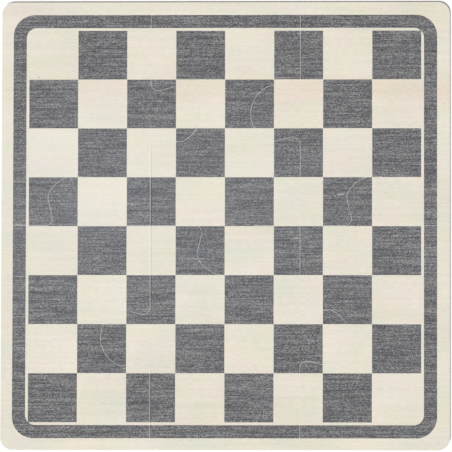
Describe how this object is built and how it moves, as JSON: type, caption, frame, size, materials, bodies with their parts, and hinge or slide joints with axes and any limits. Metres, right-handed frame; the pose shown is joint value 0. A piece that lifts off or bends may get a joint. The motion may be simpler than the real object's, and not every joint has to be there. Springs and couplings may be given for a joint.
{
  "type": "jigsaw checkerboard",
  "caption": "Thin plywood board for chess and checkers, cut into interlocking jigsaw pieces, with printed dark squares and a rounded border band.",
  "frame": {"origin": "centre of the board's underside", "axes": "+Z out of the printed face, +X to the picture's right, +Y to the picture's top"},
  "size_m": [0.2286, 0.2286, 0.003],
  "materials": {
    "plywood": "pale sanded veneer, unvarnished",
    "ink": "thin matt charcoal grey printing ink, the grain showing through"
  },
  "bodies": {
    "root": {"piece_top_left": "plywood", "piece_top_middle": "plywood", "piece_top_right": "plywood", "piece_bottom_left": "plywood", "piece_bottom_middle": "plywood", "piece_bottom_right": "plywood", "print_top_left": "ink", "print_top_middle": "ink", "print_top_right": "ink", "print_bottom_left": "ink", "print_bottom_middle": "ink", "print_bottom_right": "ink"}
  },
  "joints": []
}
